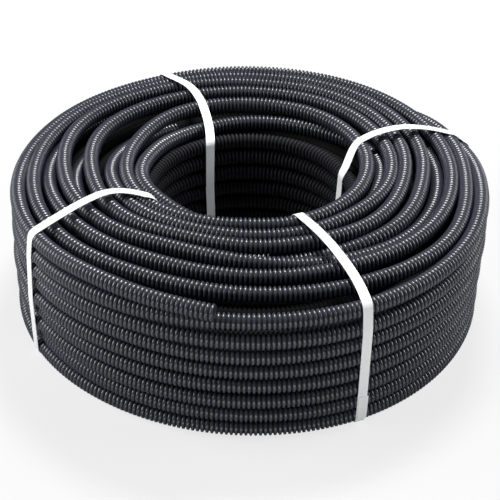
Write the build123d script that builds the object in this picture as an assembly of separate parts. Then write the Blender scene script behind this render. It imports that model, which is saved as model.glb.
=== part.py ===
"""A coil of corrugated conduit, tied by four straps, lying on the floor.

Millimetres, +Z up. The origin is on the floor, on the axis that the coil was wound about.
Angles in plan are in degrees, counter-clockwise from +X. The front is -Y.

The conduit is one length. Its wound turns are one turned solid. Every turn that shows stands out
of it: on the barrel and on top by the flats of the octagon round its tube, and in the bore and
underneath by a plain ridge. The inner turns on top lie off the axis, towards the back, so the layer
under them shows as a ledge behind the bore. The last stretch leaves the coil as a round tube, open
at its cut end, and has a groove in the coil to lie in.
"""

import math
import os

from build123d import *

# The conduit's own section.
conduit_od = 20.0
conduit_bore = 14.1
rib_pitch = 5.5
rib_crest = 2.6
rib_valley_od = 17.0

# The coil that it is wound into.
bore_diameter = 240.0
turns_across = 9
turns_high = 8
turn_pitch_across = 20.0
turn_pitch_high = 21.5
turn_sides = 8

# The innermost turn on top: how much wider it is than the bore's turns, and how far its middle lies
# from the axis, and in which direction in plan.
ledge_turn_wider = 18.0
ledge_offset = 45.0
ledge_angle = 94.0

# The end that comes out of the top outer turn and lies on the groove between the two outer turns.
tail_inset = 9.0
tail_from = 218.0
tail_to = 249.0
tail_straight = 66.0
tail_rise = 17.5
tail_hollow_depth = 55.0
tail_groove_gap = 0.3

# The four straps: the angle in plan of each one's outer and inner corner.
strap_width = 12.0
strap_thickness = 0.8
strap_gap = 0.3
strap_ends = {
    "strap_back_left": (115.0, 116.0),
    "strap_front_left": (212.0, 200.0),
    "strap_front_right": (296.0, 302.0),
    "strap_back_right": (23.5, 31.0),
}

# The one weld that shows: the strap's two ends lie one on the other there.
welded_strap = "strap_front_right"
weld_height = 28.0
weld_length = 30.0

tube_r = conduit_od / 2
bottom_z = strap_thickness + strap_gap
inner_r = bore_diameter / 2
outer_r = inner_r + conduit_od + turn_pitch_across * (turns_across - 1)
top_z = bottom_z + conduit_od + turn_pitch_high * (turns_high - 1)
tail_radius = outer_r - tube_r - tail_inset
# Half of one flat of the octagon round a tube.
half_flat = tube_r * math.tan(math.pi / turn_sides)

column_r = [inner_r + tube_r + turn_pitch_across * i for i in range(turns_across)]
row_z = [bottom_z + tube_r + turn_pitch_high * j for j in range(turns_high)]
ledge_r = column_r[0] + ledge_turn_wider


def flats(centres, crest, outward):
    """One side's outline as (along, height) points: three flats a turn, and a groove between two turns.

    centres are the turns' middles along the side, crest is how far out the side lies, and outward is
    +1 or -1.
    """
    points = []
    for middle, following in zip(centres, centres[1:] + [None]):
        points += [(middle - half_flat, crest), (middle + half_flat, crest)]
        if following:
            half_gap = (following - middle) / 2
            points.append((middle + half_gap, crest - outward * (half_gap - half_flat)))
    return points


def ridges(centres, crest, outward):
    """The same for a side that hardly shows: one ridge a turn, as deep as the groove between flats."""
    points = [(centres[0] - half_flat, crest)]
    for middle, following in zip(centres, centres[1:]):
        half_gap = (following - middle) / 2
        points += [(middle, crest), (middle + half_gap, crest - outward * (half_gap - half_flat))]
    return points + [(centres[-1], crest), (centres[-1] + half_flat, crest)]


def turned_section(rows):
    """The section of so many rows on one side of the axis, as (radius, height) points."""
    under = ridges(column_r, bottom_z, -1)
    barrel = [(r, z) for z, r in flats(rows, outer_r, 1)]
    over = flats(column_r, rows[-1] + tube_r, 1)
    bore = [(r, z) for z, r in ridges(rows, inner_r, -1)]
    return under + barrel + over[::-1] + bore[::-1]


def turned(outline):
    """A solid turned about the axis from (radius, height) points."""
    return revolve(Plane.XZ * make_face(Polyline(*outline, close=True)), Axis.Z, 360)


def plan_point(radius, angle, z=0.0):
    turn = math.radians(angle)
    return Vector(radius * math.cos(turn), radius * math.sin(turn), z)


ledge_centre = plan_point(ledge_offset, ledge_angle)


def ledge_room():
    """The room over the ledge. Its side is the inner half of the octagon round the innermost turn on top."""
    middle = row_z[-1]
    edge_r, side_r = ledge_r - half_flat, ledge_r - tube_r
    outline = [(0, row_z[-2]), (edge_r, row_z[-2]), (edge_r, middle - tube_r), (side_r, middle - half_flat)]
    outline += [(side_r, middle + half_flat), (edge_r, top_z), (edge_r, top_z + tube_r), (0, top_z + tube_r)]
    return Pos(ledge_centre) * turned(outline)


def wound_coil():
    """All rows, less the room over the ledge, which the turns of the rows below keep."""
    return turned(turned_section(row_z)) - (ledge_room() - turned(turned_section(row_z[:-1])))


# The tail lies in one plane, which rises along the straight end's own direction in plan.
heading = Vector(-math.sin(math.radians(tail_to)), math.cos(math.radians(tail_to)), 0)
tip_in_plan = plan_point(tail_radius, tail_to) + heading * tail_straight
root_in_plan = plan_point(tail_radius, tail_from)
tail_slope = tail_rise / (tip_in_plan - root_in_plan).dot(heading)


def on_tail_plane(point):
    """The point of the tail's middle plane over a point in plan."""
    return Vector(point.X, point.Y, row_z[-1] + tail_slope * (point - root_in_plan).dot(heading))


tip = on_tail_plane(tip_in_plan)
root = on_tail_plane(root_in_plan)
straight_root = on_tail_plane(plan_point(tail_radius, tail_to))
axis_out = (tip - straight_root).normalized()


def tube_on_path(radius):
    """A round tube along the arc that ends exactly along the straight end, and starts in the coil."""
    path = TangentArc(straight_root, root, tangent=axis_out * -1)
    return sweep(Plane(path @ 0, z_dir=path % 0) * Circle(radius), path=path)


def corrugated_end():
    """The straight end: ribs outside, a plain bore inside, turned about its own axis."""
    crest_r, valley_r, bore_r = tube_r, rib_valley_od / 2, conduit_bore / 2
    groove = rib_pitch - rib_crest
    rib_count = int(tail_straight / rib_pitch) - 1
    first = tail_straight - rib_count * rib_pitch
    outline = [(0, 0), (crest_r, 0)]
    for i in range(rib_count):
        z = first + i * rib_pitch
        outline += [(crest_r, z), (valley_r, z + groove / 2), (crest_r, z + groove)]
    floor_z = tail_straight - tail_hollow_depth
    outline += [(crest_r, tail_straight), (bore_r, tail_straight), (bore_r, floor_z), (0, floor_z)]
    section = Plane.XZ * make_face(Polyline(*outline, close=True))
    return Plane(straight_root, z_dir=axis_out) * revolve(section, Axis.Z, 360)


def tail_groove():
    """The room that the tail needs in the coil: its tube, larger by the gap, and its straight stretch."""
    gap_r = tube_r + tail_groove_gap
    straight = Plane(straight_root, z_dir=axis_out) * Cylinder(
        gap_r, tail_straight, align=(Align.CENTER, Align.CENTER, Align.MIN)
    )
    return tube_on_path(gap_r) + straight


def innermost_on_top(start, direction):
    """How far from the axis the innermost turn on top is, where a level line goes out over it."""
    from_centre = start - ledge_centre
    inward = from_centre.dot(direction)
    reach = math.sqrt(ledge_r**2 - from_centre.length**2 + inward**2) - inward
    return max(column_r[0], (start + direction * reach).length)


def strap_outline(on_top_r, out_from_turns):
    """A tight line round the octagons of the corner turns, moved out by so much.

    on_top_r is the innermost turn on top. Where it stands back from the bore, the turn at the
    ledge's edge is a corner too.
    """
    octagon = RegularPolygon(tube_r, turn_sides, major_radius=False, rotation=180 / turn_sides)
    corners = [(column_r[0], row_z[0]), (column_r[-1], row_z[0])]
    corners += [(column_r[-1], row_z[-1]), (on_top_r, row_z[-1])]
    if on_top_r > column_r[0]:
        corners.append((column_r[0], row_z[-2]))
    hull = make_hull(ShapeList(edge for r, z in corners for edge in (Pos(r, z) * octagon).edges()))
    return offset(hull, amount=out_from_turns, kind=Kind.INTERSECTION)


def band(on_top_r, layers, room):
    """A strapping as thick as so many layers, round the coil's section, where it lies in the room."""
    ring = strap_outline(on_top_r, strap_gap + layers * strap_thickness) - strap_outline(on_top_r, strap_gap)
    return revolve(Plane.XZ * ring, Axis.Z, 360) & room


def strap(name, outer_angle, inner_angle):
    """A closed band: the part of a thin turned skin that lies between two upright planes."""
    outer = plan_point(outer_r + tube_r, outer_angle)
    inner = plan_point(inner_r - tube_r, inner_angle)
    along = outer - inner
    direction = along.normalized()
    to_edge = direction.rotate(Axis.Z, 90) * (strap_width / 2)
    on_top_r = min(innermost_on_top(inner + to_edge * side, direction) for side in (-1, 1))
    high = 3 * top_z
    slab = Plane((outer + inner) / 2, x_dir=along, z_dir=(0, 0, 1)) * Box(along.length, strap_width, high)
    if name != welded_strap:
        return band(on_top_r, 1, slab)
    at_weld = Plane(outer, x_dir=along, z_dir=(0, 0, 1)) * Pos(0, 0, weld_height)
    return band(on_top_r, 1, slab) + band(on_top_r, 2, at_weld * Box(4 * tube_r, strap_width, weld_length))


parts = {
    "conduit_coil": wound_coil() - tail_groove(),
    "conduit_free_end": tube_on_path(tube_r) + corrugated_end(),
}
for name, (outer_angle, inner_angle) in strap_ends.items():
    parts[name] = strap(name, outer_angle, inner_angle)

os.makedirs("parts", exist_ok=True)
for name, shape in parts.items():
    export_step(shape, f"parts/{name}.step")
    print(name, "volume", round(shape.volume), "solids", len(shape.solids()))
print("coil", 2 * outer_r, "across,", round(top_z, 1), "high; tip at", tip)
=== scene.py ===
# %% [markdown]
# # A coil of corrugated conduit
#
# One long black ribbed tube, wound into a ring and tied by four white straps. The solids of the
# coil are already in the frame, as one turned block. Here that block gets its real turns: ribbed
# tubes that wander over the top as they do on a real coil.
#
# Everything is in metres. +Z is up, the coil's axis is the Z axis, and the front is -Y.

import bpy
import numpy as np
from mathutils import Euler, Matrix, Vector


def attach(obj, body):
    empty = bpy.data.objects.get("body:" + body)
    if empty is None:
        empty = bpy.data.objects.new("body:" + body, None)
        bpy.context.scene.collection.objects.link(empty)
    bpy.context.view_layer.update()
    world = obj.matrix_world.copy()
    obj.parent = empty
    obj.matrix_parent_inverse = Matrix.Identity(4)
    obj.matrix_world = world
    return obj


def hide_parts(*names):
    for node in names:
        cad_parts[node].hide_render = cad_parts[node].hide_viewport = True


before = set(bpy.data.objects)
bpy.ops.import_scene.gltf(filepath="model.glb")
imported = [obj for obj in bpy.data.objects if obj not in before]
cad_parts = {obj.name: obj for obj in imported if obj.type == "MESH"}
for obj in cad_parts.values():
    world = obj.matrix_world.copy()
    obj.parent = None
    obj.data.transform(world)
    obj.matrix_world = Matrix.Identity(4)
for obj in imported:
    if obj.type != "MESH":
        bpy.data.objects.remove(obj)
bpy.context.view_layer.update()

# %% [markdown]
# ## The camera
#
# It comes first, because every other choice is seen through it. It looks down on the coil by 35
# degrees from the front. The camera could be aimed by a Track To constraint, but a plain rotation
# is easier to read back: a camera with no rotation looks along -Z, so it is tipped up by the
# elevation, and rolled by about a degree, which the photograph's slight lean asks for.

# %% Camera
ELEVATION = np.radians(35.0)
ROLL = np.radians(1.21)
DISTANCE = 1.62
TARGET = Vector((0.0, 0.0, 0.0866))
LENS_MM = 89.57
SHIFT = (0.0008, -0.0432)

camera = bpy.data.objects.new("camera", bpy.data.cameras.new("camera"))
bpy.context.scene.collection.objects.link(camera)
camera.data.sensor_width = 36.0
camera.data.lens = LENS_MM
camera.data.shift_x, camera.data.shift_y = SHIFT
camera.data.clip_end = 50.0
away = Vector((0.0, -np.cos(ELEVATION), np.sin(ELEVATION)))
aim = Euler((np.pi / 2 - ELEVATION, 0.0, 0.0)).to_matrix()
camera.matrix_world = (aim @ Euler((0.0, 0.0, ROLL)).to_matrix()).to_4x4()
camera.location = TARGET + away * DISTANCE
bpy.context.scene.camera = camera
print("camera at", tuple(round(c, 3) for c in camera.location))

# %% [markdown]
# ## A surface from a grid of points
#
# Every new piece is a grid of points worked out with numpy, turned into a mesh in one go. The
# neighbour of a grid point is the next one in its row or column, so the faces are four shifted
# copies of one array of numbers. A direction that comes back to its start is closed by letting the
# last row share the first row's points, which leaves no seam.

# %% Grid to mesh
def mesh_piece(name, grids):
    """Joins grids of points into one mesh object.

    Each entry is (points, close_rows, close_columns, crest, facing), with points of shape (rows,
    columns, 3). The face of a grid cell runs from its corner along the row direction first, so it
    points to the side of (along rows) x (along columns). crest is one number a row, kept on the
    points for the material: 1 on a rib's crest and 0 in a valley, and lower on turns given painted
    shade, since the material paints low numbers near-black. facing is the way that the surface
    is shaded to face at each point, or None for plain flat faces.
    """
    corners, quads, crests, facings, start = [], [], [], [], 0
    for points, close_rows, close_columns, crest, facing in grids:
        rows, columns = points.shape[:2]
        number = start + np.arange(rows * columns).reshape(rows, columns)
        if close_rows:
            number = np.vstack([number, number[:1]])
        if close_columns:
            number = np.hstack([number, number[:, :1]])
        cells = np.stack([number[:-1, :-1], number[1:, :-1], number[1:, 1:], number[:-1, 1:]], axis=-1)
        quads.append(cells.reshape(-1, 4))
        corners.append(points.reshape(-1, 3))
        crests.append(np.repeat(np.broadcast_to(crest, rows), columns))
        facings.append(None if facing is None else facing.reshape(-1, 3))
        start += rows * columns
    corners, quads = np.concatenate(corners), np.concatenate(quads)
    mesh = bpy.data.meshes.new(name)
    mesh.vertices.add(len(corners))
    mesh.vertices.foreach_set("co", corners.astype(np.float32).ravel())
    mesh.loops.add(quads.size)
    mesh.loops.foreach_set("vertex_index", quads.astype(np.int32).ravel())
    mesh.polygons.add(len(quads))
    mesh.polygons.foreach_set("loop_start", np.arange(0, quads.size, 4, dtype=np.int32))
    mesh.polygons.foreach_set("use_smooth", np.full(len(quads), grids[0][4] is not None))
    mesh.update(calc_edges=True)
    mesh.attributes.new("crest", "FLOAT", "POINT").data.foreach_set(
        "value", np.concatenate(crests).astype(np.float32)
    )
    if facings[0] is not None:
        mesh.normals_split_custom_set_from_vertices(np.concatenate(facings))
    piece = bpy.data.objects.new(name, mesh)
    bpy.context.scene.collection.objects.link(piece)
    print(name, 2 * len(quads), "triangles")
    return piece


# %% [markdown]
# ## The line that a turn follows
#
# A coil made of neat circles looks machined. On the real one the top turns are squeezed together
# under the straps and bulge apart between them, and some dive under their neighbours. So a turn is
# a short table: its radius and its height over the top layer, at every 30 degrees. Between two
# entries the line is a cubic, as smooth as a bent tube is.

# %% Smooth lines through a table
MM = 0.001


def smooth_at(knots, values, at):
    """A cubic through the values: at each knot its slope is that of the two neighbours' join."""
    slopes = np.gradient(values, knots)
    i = np.clip(np.searchsorted(knots, at, side="right") - 1, 0, len(knots) - 2)
    step = knots[i + 1] - knots[i]
    f = (at - knots[i]) / step
    leaving = (1 + 2 * f) * (1 - f) ** 2 * values[i] + f * (1 - f) ** 2 * step * slopes[i]
    arriving = f**2 * (3 - 2 * f) * values[i + 1] - f**2 * (1 - f) * step * slopes[i + 1]
    return leaving + arriving


def on_plan(angles, radii, heights):
    """Points at an angle in degrees, a radius and a height in metres."""
    turn = np.radians(angles)
    return np.stack([radii * np.cos(turn), radii * np.sin(turn), heights], axis=-1)


def open_line(angles, radii, heights):
    """The line through a table that starts and ends somewhere, one point a degree."""
    at = np.arange(angles[0], angles[-1] + 0.5, 1.0)
    return on_plan(at, smooth_at(angles, radii, at), smooth_at(angles, heights, at))


def closed_line(radii, heights):
    """The line through one turn's table, which begins at angle 0 and comes back to its start."""
    knots = np.arange(-len(radii), 2 * len(radii)) * (360.0 / len(radii))
    at = np.arange(0.0, 360.0, 1.0)
    return on_plan(at, smooth_at(knots, np.tile(radii, 3), at), smooth_at(knots, np.tile(heights, 3), at))


# %% [markdown]
# ## The ribbed tube
#
# The conduit's wall is a wave: a broad crest, steep sides and a narrow valley, every 5.5 mm. The
# wave is carried along the line as rings of points. A ring lies square to the line, so each one
# needs the line's direction there, a sideways direction and an upward one. Rings are placed by
# length along the line and not by angle, or the ribs would spread on the outer turns. The rib count
# is rounded to a whole number, so that a closed turn meets itself without a broken rib.

# %% Ribbed tube
TUBE_R = 10.0 * MM
RIB_PITCH = 5.5 * MM
# Places along one rib, as shares of the pitch, the radius there as a share of the tube's, and how
# far the surface leans along the tube there.
VALLEY = 0.75
FINE_RIB = ((0.0, VALLEY, 0.4), (0.26, VALLEY, -0.4), (0.46, 1.0, -0.32), (0.80, 1.0, 0.32))
PLAIN_RIB = ((0.0, VALLEY, 0.0), (0.4, 1.0, -0.17), (0.75, 1.0, 0.17))


def measured(line, closed):
    """The line's points with the length reached at each, and the direction of travel there."""
    points = np.vstack([line, line[:1]]) if closed else line
    steps = np.diff(points, axis=0)
    reached = np.concatenate([[0.0], np.cumsum(np.linalg.norm(steps, axis=1))])
    if closed:
        forward = np.roll(line, -1, axis=0) - np.roll(line, 1, axis=0)
        forward = np.vstack([forward, forward[:1]])
    else:
        forward = np.gradient(line, axis=0)
    return points, reached, forward / np.linalg.norm(forward, axis=1, keepdims=True)


def rings(line, closed, where, radii, leans, sides):
    """Rings square to the line at given lengths along it, and the way that they face.

    A ring is centre + radius x outward, with outward = cos a x sideways + sin a x upward. Sideways is
    the line's direction crossed with +Z, and upward is sideways crossed with the direction. A ring
    faces outward, plus its lean x the direction.
    """
    points, reached, forward = measured(line, closed)
    middle, ahead = (
        np.stack([np.interp(where, reached, values[:, k]) for k in range(3)], axis=-1)
        for values in (points, forward)
    )
    sideways = np.cross(ahead, (0.0, 0.0, 1.0))
    sideways /= np.linalg.norm(sideways, axis=1, keepdims=True)
    upward = np.cross(sideways, ahead)
    upward /= np.linalg.norm(upward, axis=1, keepdims=True)
    a = np.arange(sides) * (2 * np.pi / sides)
    around = np.cos(a)[None, :, None] * sideways[:, None] + np.sin(a)[None, :, None] * upward[:, None]
    facing = around + np.asarray(leans)[:, None, None] * ahead[:, None]
    facing /= np.linalg.norm(facing, axis=2, keepdims=True)
    return middle[:, None] + np.asarray(radii)[:, None, None] * around, facing


def crest_share(shares):
    """How far up the rib a radius is: 0 in the valley and 1 on the crest."""
    return np.clip((np.asarray(shares) - VALLEY) / (1 - VALLEY), 0, 1)


dice = np.random.default_rng(7)


def ribbed(line, closed, rib=FINE_RIB, sides=12, shade=1.0):
    """The ribbed tube along a line. An open line's ends are shut by a ring of no size.

    shade is 1 for a turn out in the open, and less for a turn deep in the coil: it scales the crest number
    down, so that the turn is painted darker, as painted shade.
    """
    total = measured(line, closed)[1][-1]
    count = int(round(total / RIB_PITCH))
    places, shares, leans = np.array(rib).T
    phase = dice.random() if closed else 0.0
    where = ((np.arange(count)[:, None] + places + phase) * (total / count)).ravel() % total
    shares, leans = np.tile(shares, count), np.tile(leans, count)
    if not closed:
        where = np.concatenate([[0.0], where, [total, total]])
        shares = np.concatenate([[0.0], shares, [VALLEY, 0.0]])
        leans = np.concatenate([[-9.0], leans, [0.0, 9.0]])
    points, facing = rings(line, closed, where, shares * TUBE_R, leans, sides)
    return points, closed, True, shade * crest_share(shares), facing


# %% [markdown]
# ## Where the turns run
#
# The barrel is eight turns one on the other. The free end is the last of them: past the left strap
# it climbs over the turn below it. To make room for it, the eight turns sink by one tube's height
# at the back and the left, which the table of drops says. The rest of the top is a spiral that
# winds inward, so its table simply goes on for several turns.

# %% Barrel
BOTTOM_ROW = 11.1 * MM
TOP_ROW = 161.6 * MM
ROWS = 8
BARREL_R = 290.0 * MM
TOP_TURN_RADII = np.array([291, 303, 298, 292, 289, 291, 291, 290, 290, 284, 285, 288]) * MM
TOP_TURN_DROPS = np.array([0, -17, -24, -24, -24, -23, -21, -13, -1, 0, 0, 0]) * MM
DEEPEST_DROP = 24.0 * MM
STAGGER = 3.0 * MM


def barrel_row(j):
    """The line of row j of the barrel, counted from the floor.

    A row's height is its share of the top row's height. Where the rows are pressed together they
    stand in and out by turns, to keep a tube's width apart.
    """
    if j == ROWS - 1:
        return closed_line(TOP_TURN_RADII, TOP_ROW + TOP_TURN_DROPS)
    wander = dice.normal(0.0, 1.0, (2, 12)) * MM * np.array([[0.9], [0.35]])
    share = j / (ROWS - 1)
    heights = BOTTOM_ROW + share * (TOP_ROW + TOP_TURN_DROPS - BOTTOM_ROW)
    pressed = -TOP_TURN_DROPS / DEEPEST_DROP
    if j == 0:
        wander[1] = 0
    return closed_line(BARREL_R + (-1) ** j * STAGGER * pressed + wander[0], heights + wander[1])


def table(start, entries, tail=()):
    """Angles, radii and heights from entries at every 30 degrees.

    An entry is a radius in millimetres, or a radius and a height over the top row. The tail goes on
    with entries at angles of their own, as (angle, radius, height).
    """
    pairs = [entry if isinstance(entry, tuple) else (entry, 0) for entry in entries]
    angles = [start + 30.0 * k for k in range(len(pairs))] + [angle for angle, _, _ in tail]
    pairs += [(radius, height) for _, radius, height in tail]
    radii, heights = np.array(pairs, float).T * MM
    return np.array(angles), radii, TOP_ROW + heights


# %% [markdown]
# ## The turns on top
#
# Two lengths of tube wind over the top, and cross where one dives under the other. They could be
# loose rings, but then no turn would ever change its place, and on the real coil most of them do.
# Each entry was chosen by comparing the render with the photograph. Two closed rings lie
# inside them: the innermost turn, and a lower one beside it.

# %% Top spiral
# After the short start under the others, each line of the table goes on round by most of a turn.
SPIRAL = table(
    120,
    [
        (212, -36), (194, -20), (176, -4), 153, 131,
        125, 132, 146, 175, 201, 222, 228, 231, 228, 200, 176, 149,
        145, 153, 174, 193, 222, 246, 253, 262, 264, 235, 204, 174,
        176, (188, -9), (217, -10), (238, -12), (258, -18), (262, -20), (262, -22), (268, -22), (270, -18),
        (256, -8), (230, -2), 207,
        204, 213, 235, 255, 274, 286, 288, 286, 291, 292,
    ],
    tail=[
        (1650, 287, 5.5), (1660, 285.5, 10), (1674, 286, 17),
        (1687, 287.5, 18), (1695, 289.5, 18), (1703.4, 293.5, 17.5),
    ],
)
SECOND_SPIRAL = table(
    150,
    [
        (238, -34), (222, -14), (197, -14), (160, -16), (160, -15), (168, -13), (199, -2),
        217, 246, 267, 271, 275, 283, 275, 260, 238,
        236, 247, 266, 273, (291, -5), (283, -20), (273, -22),
    ],
)
INNER_TURN = table(0, [143, 168, 188, 195, 194, 174, 156, 135, 112, 102, 109, 122])
LOW_TURN = table(
    0,
    [
        (160, -14), (186, -16), (178, -16), (172, -16), (160, -14), (145, -4), (138, 0), (118, -2),
        (100, -14), (102, -22), (125, -22), (135, -20),
    ],
)
# The free end's own piece starts under the left strap, where the seam between the two doesn't show.
FREE_END_FROM = 1651.0


def split_spiral(at_angle):
    """The spiral's line in two: up to an angle, and from it on."""
    line = open_line(*SPIRAL)
    cut = int(at_angle - SPIRAL[0][0])
    return line[: cut + 1], line[cut:]


spiral_line, free_end_line = split_spiral(FREE_END_FROM)
print("spiral", round(measured(spiral_line, False)[1][-1], 2), "m long")

# %% [markdown]
# ## The bore's wall and the underside
#
# In the bore the rows of turns show one over the other. The real bore isn't quite round: it is
# narrower from front to back, and at the back each row up stands a little further out. So a row is
# a round turn whose radius goes over softly from one value at the sides to others at the back and
# front. Nobody sees the underside closely, so it gets plain round turns with fewer rings a rib.

# %% Bore and bottom
BORE_BACK = np.array([112, 112, 113, 116, 120, 126, 132]) * MM
BORE_FRONT = 118.0 * MM
BORE_SIDE = 133.0 * MM
BORE_SHAPE = np.sin(np.radians(np.arange(0, 360, 30)))


def bore_row(j):
    """The line of row j of the bore's wall: one radius at the sides, and others at the back and front.

    Between them the radius goes over with the square of the sine of the angle.
    """
    other = np.where(BORE_SHAPE > 0, BORE_BACK[j], BORE_FRONT)
    radii = BORE_SIDE + (other - BORE_SIDE) * BORE_SHAPE**2
    return closed_line(radii, np.full(len(radii), BOTTOM_ROW + j * (TOP_ROW - BOTTOM_ROW) / (ROWS - 1)))


def round_turn(radius, height):
    """The line of a plain circle about the coil's axis."""
    return closed_line(np.full(12, radius), np.full(12, height))


# %% [markdown]
# ## The open end
#
# The last stretch is cut square and shows the bore. The tube's grid goes on over the rim and back
# along the inside, to a plain end 50 mm deep. The inside is painted near-black, a painted shade that
# hides that end.

# %% Free end
BORE_R = 7.05 * MM
BORE_DEPTH = 50.0 * MM
# How far back from the cut, and the radius there, over the rim and into the bore.
RIM_AND_BORE = ((0.3, 9.75), (0.0, 9.5), (0.0, 7.6), (0.5, 7.1), (12.0, 7.05), (30.0, 7.05))
RIM_RINGS = 4
# The crest number over the rim and into the bore: the rim keeps the crests' colour, and further in it falls
# to 0, which paints the bore's inside near-black as painted shade.
RIM_SHADES = (0.9, 0.9, 0.8, 0.5, 0.0, 0.0, 0.0, 0.0)


def open_end(line):
    """The ribbed tube along a line, with a rim and a bore at the line's last point."""
    points, closed, round_about, crest, facing = ribbed(line, False)
    total = measured(line, False)[1][-1]
    back, radii = np.array(RIM_AND_BORE).T * MM
    where = np.concatenate([total - back, [total - BORE_DEPTH, total - BORE_DEPTH]])
    radii = np.concatenate([radii, [BORE_R, 0.0]])
    inside, inside_facing = rings(line, False, where, radii, np.zeros(len(where)), points.shape[1])
    ahead = line[-1] - line[-2]
    inside_facing[:RIM_RINGS] = ahead / np.linalg.norm(ahead)
    inside_facing[RIM_RINGS:] *= -1
    crest = np.concatenate([crest[:-2], RIM_SHADES])
    facing = np.concatenate([facing[:-2], inside_facing])
    return np.concatenate([points[:-2], inside]), closed, round_about, crest, facing


# %% [markdown]
# ## What lies under the top turns
#
# Between the top turns the ones below are glimpsed. A layer of plain turns lies there, and below it
# one ring stands for the turns that nobody can see; its near-black is painted shade. It could be
# left out, but then daylight would shine between the rows.

# %% Hidden turns
UNDER_LAYER = TOP_ROW - 34.0 * MM
CORE_SECTION = np.array([(137, 9), (137, 128), (281, 128), (281, 9)]) * MM


def core_ring():
    """One dark ring: its section, as (radius, height), turned about +Z."""
    around = np.radians(np.arange(0, 360, 7.5))[:, None]
    r, z = CORE_SECTION.T
    points = np.stack([np.cos(around) * r, np.sin(around) * r, np.ones_like(around) * z], axis=-1)
    # A crest number of 0 gives the ring the valleys' near-black, which is painted shade.
    return points, True, True, 0.0, None


# %% [markdown]
# ## All the turns as pieces
#
# The tubes are joined into a few pieces by the place where they lie. One piece a turn would be
# harder to handle, and one piece for them all couldn't have a duller black in the depth.

# %% Build the turns
barrel_lines = [barrel_row(j) for j in range(ROWS)]
pieces = {
    "conduit_barrel_low": [ribbed(line, True) for line in barrel_lines[:4]],
    "conduit_barrel_high": [ribbed(line, True) for line in barrel_lines[4:]],
    "conduit_top_spiral": [ribbed(spiral_line, False)],
    "conduit_top_second": [ribbed(open_line(*SECOND_SPIRAL), False)],
    "conduit_top_inner": [
        ribbed(closed_line(INNER_TURN[1], INNER_TURN[2]), True),
        ribbed(closed_line(LOW_TURN[1], LOW_TURN[2]), True),
    ],
    # The bore's wall (0.55) and the under layer (0.35) are painted darker by the shade factor, as painted
    # shade.
    "conduit_bore_wall": [ribbed(bore_row(j), True, shade=0.55) for j in range(ROWS - 1)],
    "conduit_bottom": [
        ribbed(round_turn(radius * MM, BOTTOM_ROW), True, PLAIN_RIB, 8)
        for radius in range(143, 275, 21)
    ],
    "conduit_under_layer": [
        ribbed(round_turn(radius * MM, UNDER_LAYER), True, PLAIN_RIB, 8, 0.35)
        for radius in range(152, 275, 20)
    ],
    "conduit_core": [core_ring()],
    "conduit_open_end": [open_end(free_end_line)],
}
conduit = {}
for name, grids in pieces.items():
    conduit[name] = mesh_piece(name, grids)

# %% [markdown]
# ## The straps
#
# Strapping is pulled tight round the coil, so its line is the one that a taut band takes: the
# convex outline of all the tubes that it crosses. That outline needs no search along the surface.
# For each direction in the strap's upright plane, the tube that reaches furthest that way is
# touched, and the band passes there, one tube radius out. The strapping is stiff, so on top it bows
# up a little between its corners, which is one more thing for the band to go round.

# %% Strap lines
STRAP_WIDTH = 12.0 * MM
STRAP_THICKNESS = 0.8 * MM
STRAP_GAP = 0.3 * MM
BROKEN_EDGE = 0.25 * MM
# A turn that lies hardly lower than the top row counts as one of the turns that a strap bows over.
HARDLY_LOWER = 2 * MM
BOW_POINTS = 25
WELDED_STRAP = "strap_front_right"
WELD_HEIGHTS = (10 * MM, 46 * MM)
WELD_SHIFT = 1.5 * MM
# How far each one bows up, and its way in plan from the bore outwards, as radius and angle.
STRAPS = {
    "strap_back_left": (
        3,
        [(110, 120), (135, 114.5), (196, 111.2), (233, 111.8), (284, 115.4), (310, 116.5)],
    ),
    "strap_front_left": (
        8,
        [
            (126, 209), (136, 204.5), (149, 200.8), (165, 198.7),
            (185, 199), (210, 202), (256, 207), (310, 211.5),
        ],
    ),
    "strap_front_right": (8, [(100, 304), (128, 302.5), (203, 299.8), (268, 297.8), (310, 295.8)]),
    "strap_back_right": (
        9,
        [
            (110, 13), (130, 21), (160, 30.5), (180, 30.7),
            (210, 29.2), (240, 27.6), (270, 25.8), (310, 21.5),
        ],
    ),
}
turn_lines = {
    "closed": barrel_lines + [bore_row(j) for j in range(ROWS - 1)],
    "open": [open_line(*SPIRAL), open_line(*SECOND_SPIRAL)],
}
turn_lines["closed"] += [closed_line(INNER_TURN[1], INNER_TURN[2]), closed_line(LOW_TURN[1], LOW_TURN[2])]


class Way:
    """A strap's way in plan: a straight run from start to end, and how far it strays to one side."""

    def __init__(self, route):
        radii, angles = np.array(route, float).T
        points = on_plan(angles, radii * MM, np.zeros(len(route)))
        self.start = points[0]
        self.reach = np.linalg.norm(points[-1] - points[0])
        self.along = (points[-1] - points[0]) / self.reach
        self.across = np.array([-self.along[1], self.along[0], 0.0])
        self.knots = (points - self.start) @ self.along
        self.strays = (points - self.start) @ self.across

    def stray(self, out):
        """How far to the side the strap lies at a distance out along the run."""
        return smooth_at(self.knots, self.strays, np.clip(out, 0, self.reach))

    def crossings(self, line, closed):
        """Where a turn's line crosses the upright sheet over the way, as (distance out, height)."""
        points = np.vstack([line, line[:1]]) if closed else line
        out = (points - self.start) @ self.along
        side = (points - self.start) @ self.across - self.stray(out)
        i = np.nonzero((side[:-1] * side[1:] <= 0) & (out[:-1] > 0) & (out[:-1] < self.reach))[0]
        share = side[i] / (side[i] - side[i + 1])
        met = points[i] + share[:, None] * (points[i + 1] - points[i])
        return np.stack([(met - self.start) @ self.along, met[:, 2]], axis=-1)


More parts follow.
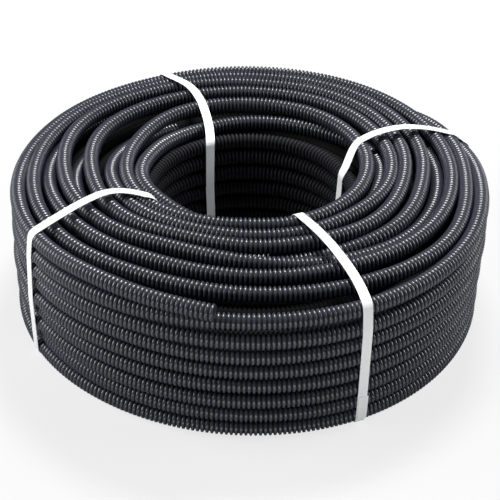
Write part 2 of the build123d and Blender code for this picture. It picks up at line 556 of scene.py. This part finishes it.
def taut_line(touched, clear, step=2.0 * MM):
    """The outline of circles of radius clear round the points, going up on the inner side.

    For a direction, the furthest point that way is the one with the largest product with it.
    """
    turn = np.linspace(np.pi, -np.pi, 720, endpoint=False)
    ways = np.stack([np.cos(turn), np.sin(turn)], axis=-1)
    outline = touched[np.argmax(touched @ ways.T, axis=0)] + clear * ways
    loop = np.vstack([outline, outline[:1]])
    reached = np.concatenate([[0.0], np.cumsum(np.linalg.norm(np.diff(loop, axis=0), axis=1))])
    where = np.arange(0.0, reached[-1], step)
    return np.stack([np.interp(where, reached, loop[:, k]) for k in range(2)], axis=-1)


def strap_section():
    """The strapping's cross-section with its edges broken, as (across, outward)."""
    w, t, edge = STRAP_WIDTH / 2, STRAP_THICKNESS / 2, BROKEN_EDGE
    one_side = [(-w, t - edge), (edge - w, t), (w - edge, t), (w, t - edge)]
    return np.array(one_side + [(-x, -y) for x, y in one_side])


def strap_grid(bow, route, layer=0, between=None, shift=0.0):
    """A strap's closed band, or for its weld the stretch of the outside between two heights."""
    way = Way(route)
    touched = [way.crossings(line, True) for line in turn_lines["closed"]]
    touched = np.concatenate(touched + [way.crossings(line, False) for line in turn_lines["open"]])
    on_top = touched[touched[:, 1] > TOP_ROW - HARDLY_LOWER][:, 0]
    share = np.linspace(0, 1, BOW_POINTS)
    bowed = np.stack([on_top.min() + share * np.ptp(on_top), TOP_ROW + bow * MM * np.sin(np.pi * share)], -1)
    clear = TUBE_R + STRAP_GAP + (0.5 + layer) * STRAP_THICKNESS
    band = taut_line(np.vstack([touched, bowed]), clear)
    if between:
        band = band[(band[:, 0] > way.reach / 2) & (band[:, 1] > between[0]) & (band[:, 1] < between[1])]
    out, up = band.T
    middle = way.start + out[:, None] * way.along + (way.stray(out) + shift)[:, None] * way.across
    middle[:, 2] = up
    if between:
        ahead = np.gradient(middle, axis=0)
    else:
        ahead = np.roll(middle, -1, axis=0) - np.roll(middle, 1, axis=0)
    outward = np.cross(way.across, ahead)
    outward /= np.linalg.norm(outward, axis=1, keepdims=True)
    flat = np.cross(ahead, outward)
    flat /= np.linalg.norm(flat, axis=1, keepdims=True)
    x, y = strap_section().T
    points = middle[:, None] + x[:, None] * flat[:, None] + y[:, None] * outward[:, None]
    points[..., 2] = np.maximum(points[..., 2], 0.0)
    if between:
        ends = middle[[0, -1]][:, None].repeat(len(x), 1)
        points = np.concatenate([ends[:1], points, ends[1:]])
    return points, not between, True, 1.0, None


straps = {}
for name, (bow, route) in STRAPS.items():
    grids = [strap_grid(bow, route)]
    if name == WELDED_STRAP:
        grids.append(strap_grid(bow, route, layer=1, between=WELD_HEIGHTS, shift=WELD_SHIFT))
    straps[name] = mesh_piece(name + "_band", grids)
    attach(straps[name], "root")
    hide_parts(name)

# %% [markdown]
# ## The floor
#
# The photograph's ground is plain white, with only a soft shade close to the coil. A lit white
# floor would never reach that white and would throw too much light on the barrel. So the floor's
# surface is grey to the lamps, and the camera sees it through three quarters of plain white.

# %% Floor
def plain_material(name, colour, roughness):
    """One colour and one roughness all over."""
    material = bpy.data.materials.new(name)
    material.use_nodes = True
    shader = material.node_tree.nodes["Principled BSDF"]
    shader.inputs["Base Color"].default_value = (*colour, 1.0)
    shader.inputs["Roughness"].default_value = roughness
    return material


FLOOR_REACH = 9.0
floor_corners = FLOOR_REACH * np.array([[[-1, -1, 0], [-1, 1, 0]], [[1, -1, 0], [1, 1, 0]]], float)
floor = mesh_piece("floor", [(floor_corners, False, False, 0.0, None)])
FLOOR_WHITE_SHARE = 0.75


def floor_material():
    """A grey floor that the camera sees with three quarters of plain white laid over it."""
    material = plain_material("floor", (0.6, 0.6, 0.6), 0.9)
    nodes, links = material.node_tree.nodes, material.node_tree.links
    rays, white = nodes.new("ShaderNodeLightPath"), nodes.new("ShaderNodeEmission")
    share = nodes.new("ShaderNodeMath")
    share.operation = "MULTIPLY"
    share.inputs[1].default_value = FLOOR_WHITE_SHARE
    both = nodes.new("ShaderNodeMixShader")
    links.new(rays.outputs["Is Camera Ray"], share.inputs[0])
    links.new(share.outputs["Value"], both.inputs["Fac"])
    links.new(nodes["Principled BSDF"].outputs["BSDF"], both.inputs[1])
    links.new(white.outputs["Emission"], both.inputs[2])
    links.new(both.outputs["Shader"], nodes["Material Output"].inputs["Surface"])
    return material


floor.data.materials.append(floor_material())

# %% [markdown]
# ## Two blacks and a white
#
# The conduit is black polythene, glossy on the ribs' crests and dull in the valleys. The crests have
# the plastic's own bluish black, and the valleys' near-black is painted shade between the ribs. A
# picture of stripes would have to be fitted to every bend. The mesh already knows how far up a rib
# each point is, so the material reads that number and needs no picture. Deep in the coil the
# plastic is the same, but hardly any light comes back from it, so the turns there get a copy of it
# that mirrors the lamps less, which is painted shade. The strapping is plain white polypropylene,
# with a faint sheen.

# %% Materials
def conduit_material(name, gloss):
    """Black plastic: the crests are paler and glossier than the valleys, whose near-black is painted shade.

    gloss is how strongly the plastic mirrors the lamps, which is the same on crests and in valleys.
    """
    material = plain_material(name, (0.02, 0.02, 0.025), 0.3)
    nodes, links = material.node_tree.nodes, material.node_tree.links
    shader = nodes["Principled BSDF"]
    crest = nodes.new("ShaderNodeAttribute")
    crest.attribute_name = "crest"
    for socket, valley_value, crest_value, low, high in (
        # The valleys' near-black base colour is painted shade; the crests' colour is the plastic's own.
        ("Base Color", (0.001, 0.001, 0.0015, 1), (0.034, 0.038, 0.06, 1), 0.45, 0.95),
        ("Roughness", (0.9, 0.9, 0.9, 1), (0.3, 0.3, 0.3, 1), 0.4, 0.75),
    ):
        ramp = nodes.new("ShaderNodeValToRGB")
        ramp.color_ramp.elements[0].position = low
        ramp.color_ramp.elements[0].color = valley_value
        ramp.color_ramp.elements[1].position = high
        ramp.color_ramp.elements[1].color = crest_value
        links.new(crest.outputs["Fac"], ramp.inputs["Fac"])
        links.new(ramp.outputs["Color"], shader.inputs[socket])
    shader.inputs["Specular IOR Level"].default_value = gloss
    return material


# The pieces that lie deep in the coil or under it. They get the copy of the black that mirrors the lamps
# less, as painted shade.
DEEP = ("conduit_bore_wall", "conduit_under_layer", "conduit_core", "conduit_bottom")
black = conduit_material("black conduit", 0.7)
painted_shade_black = conduit_material("black conduit, painted shade", 0.22)
white = plain_material("white strapping", (0.86, 0.87, 0.88), 0.35)
for piece in straps.values():
    piece.data.materials.append(white)
for name, piece in conduit.items():
    piece.data.materials.append(painted_shade_black if name in DEEP else black)
    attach(piece, "root")
    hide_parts("conduit_free_end" if name == "conduit_open_end" else "conduit_coil")

# %% [markdown]
# ## Light
#
# The photograph has broad soft lamps above and at both sides, which draw a pale line along each
# turn, and a weak one low at the front. Small hard lamps would give each rib a spark instead. The
# world is kept nearly dark, or the gaps between the turns would turn grey.

# %% Light
world = bpy.data.worlds.new("world")
bpy.context.scene.world = world
world.use_nodes = True
world.node_tree.nodes["Background"].inputs["Color"].default_value = (1, 1, 1, 1)
world.node_tree.nodes["Background"].inputs["Strength"].default_value = 0.05

LIT = Vector((0.0, 0.0, 0.1))


def softbox(name, size, place, power):
    """A rectangular lamp of so many watts that faces the coil."""
    lamp = bpy.data.lights.new(name, "AREA")
    lamp.shape = "RECTANGLE"
    lamp.size, lamp.size_y = size
    lamp.energy = power
    box = bpy.data.objects.new(name, lamp)
    bpy.context.scene.collection.objects.link(box)
    box.location = place
    box.rotation_euler = (LIT - Vector(place)).to_track_quat("-Z", "Y").to_euler()


softbox("key", (0.7, 0.5), (0.2, 1.1, 2.3), 66)
softbox("left", (1.9, 1.3), (-2.2, -0.1, 1.4), 60)
softbox("right", (1.7, 1.2), (2.3, 0.4, 1.3), 44)
softbox("front", (2.8, 0.3), (0.0, -2.3, 0.2), 16)
bpy.context.scene.view_settings.view_transform = "Standard"
